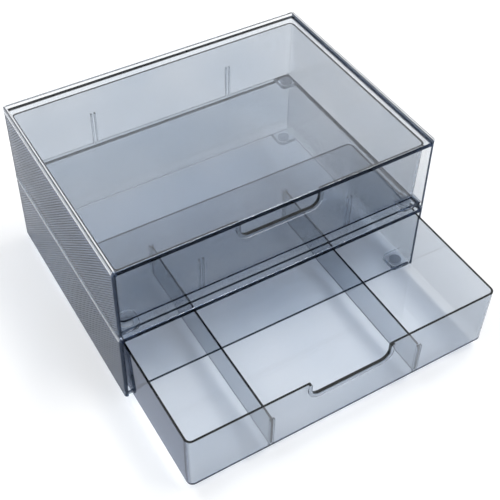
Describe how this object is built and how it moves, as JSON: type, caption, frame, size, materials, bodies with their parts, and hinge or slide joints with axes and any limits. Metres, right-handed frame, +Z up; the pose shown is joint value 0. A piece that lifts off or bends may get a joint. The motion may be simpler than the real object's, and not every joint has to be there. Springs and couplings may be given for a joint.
{
  "type": "letter tray stack with drawers",
  "caption": "Stacked clear desk trays with pull-out drawers, a finger notch in each drawer and dividers in the open lower one.",
  "frame": {"origin": "on the surface that the feet stand on, at the centre of all that the stack covers with its lower drawer pulled out as at rest", "axes": "+Z up; the drawers' fronts face -Y and pull out along -Y; +X to the right of someone facing the drawers"},
  "size_m": [0.316, 0.3464, 0.1672],
  "materials": {
    "case_plastic": "clear smoke-blue moulded plastic, polished, with fine diagonal ribbing on the sides",
    "drawer_plastic": "clear smoke-blue moulded plastic, polished",
    "divider_plastic": "clear smoke-blue moulded plastic, polished",
    "foot_rubber": "soft translucent grey rubber"
  },
  "bodies": {
    "lower_case": {"lower_case": "case_plastic", "lower_foot_front_left": "foot_rubber", "lower_foot_front_right": "foot_rubber", "lower_foot_back_left": "foot_rubber", "lower_foot_back_right": "foot_rubber"},
    "upper_case": {"upper_case": "case_plastic", "upper_foot_front_left": "foot_rubber", "upper_foot_front_right": "foot_rubber", "upper_foot_back_left": "foot_rubber", "upper_foot_back_right": "foot_rubber"},
    "lower_drawer": {"lower_drawer": "drawer_plastic", "divider_left": "divider_plastic", "divider_right": "divider_plastic"},
    "upper_drawer": {"upper_drawer": "drawer_plastic"}
  },
  "joints": [
    {"name": "lower_drawer_slide", "type": "slide", "parent": "lower_case", "child": "lower_drawer", "axis": [0, -1, 0], "range_m": [-0.1163, 0.0837]},
    {"name": "upper_drawer_slide", "type": "slide", "parent": "upper_case", "child": "upper_drawer", "axis": [0, -1, 0], "range_m": [0, 0.2]},
    {"name": "upper_case_lift", "type": "slide", "parent": "lower_case", "child": "upper_case", "axis": [0, 0, 1], "range_m": [0, 0.06]}
  ]
}
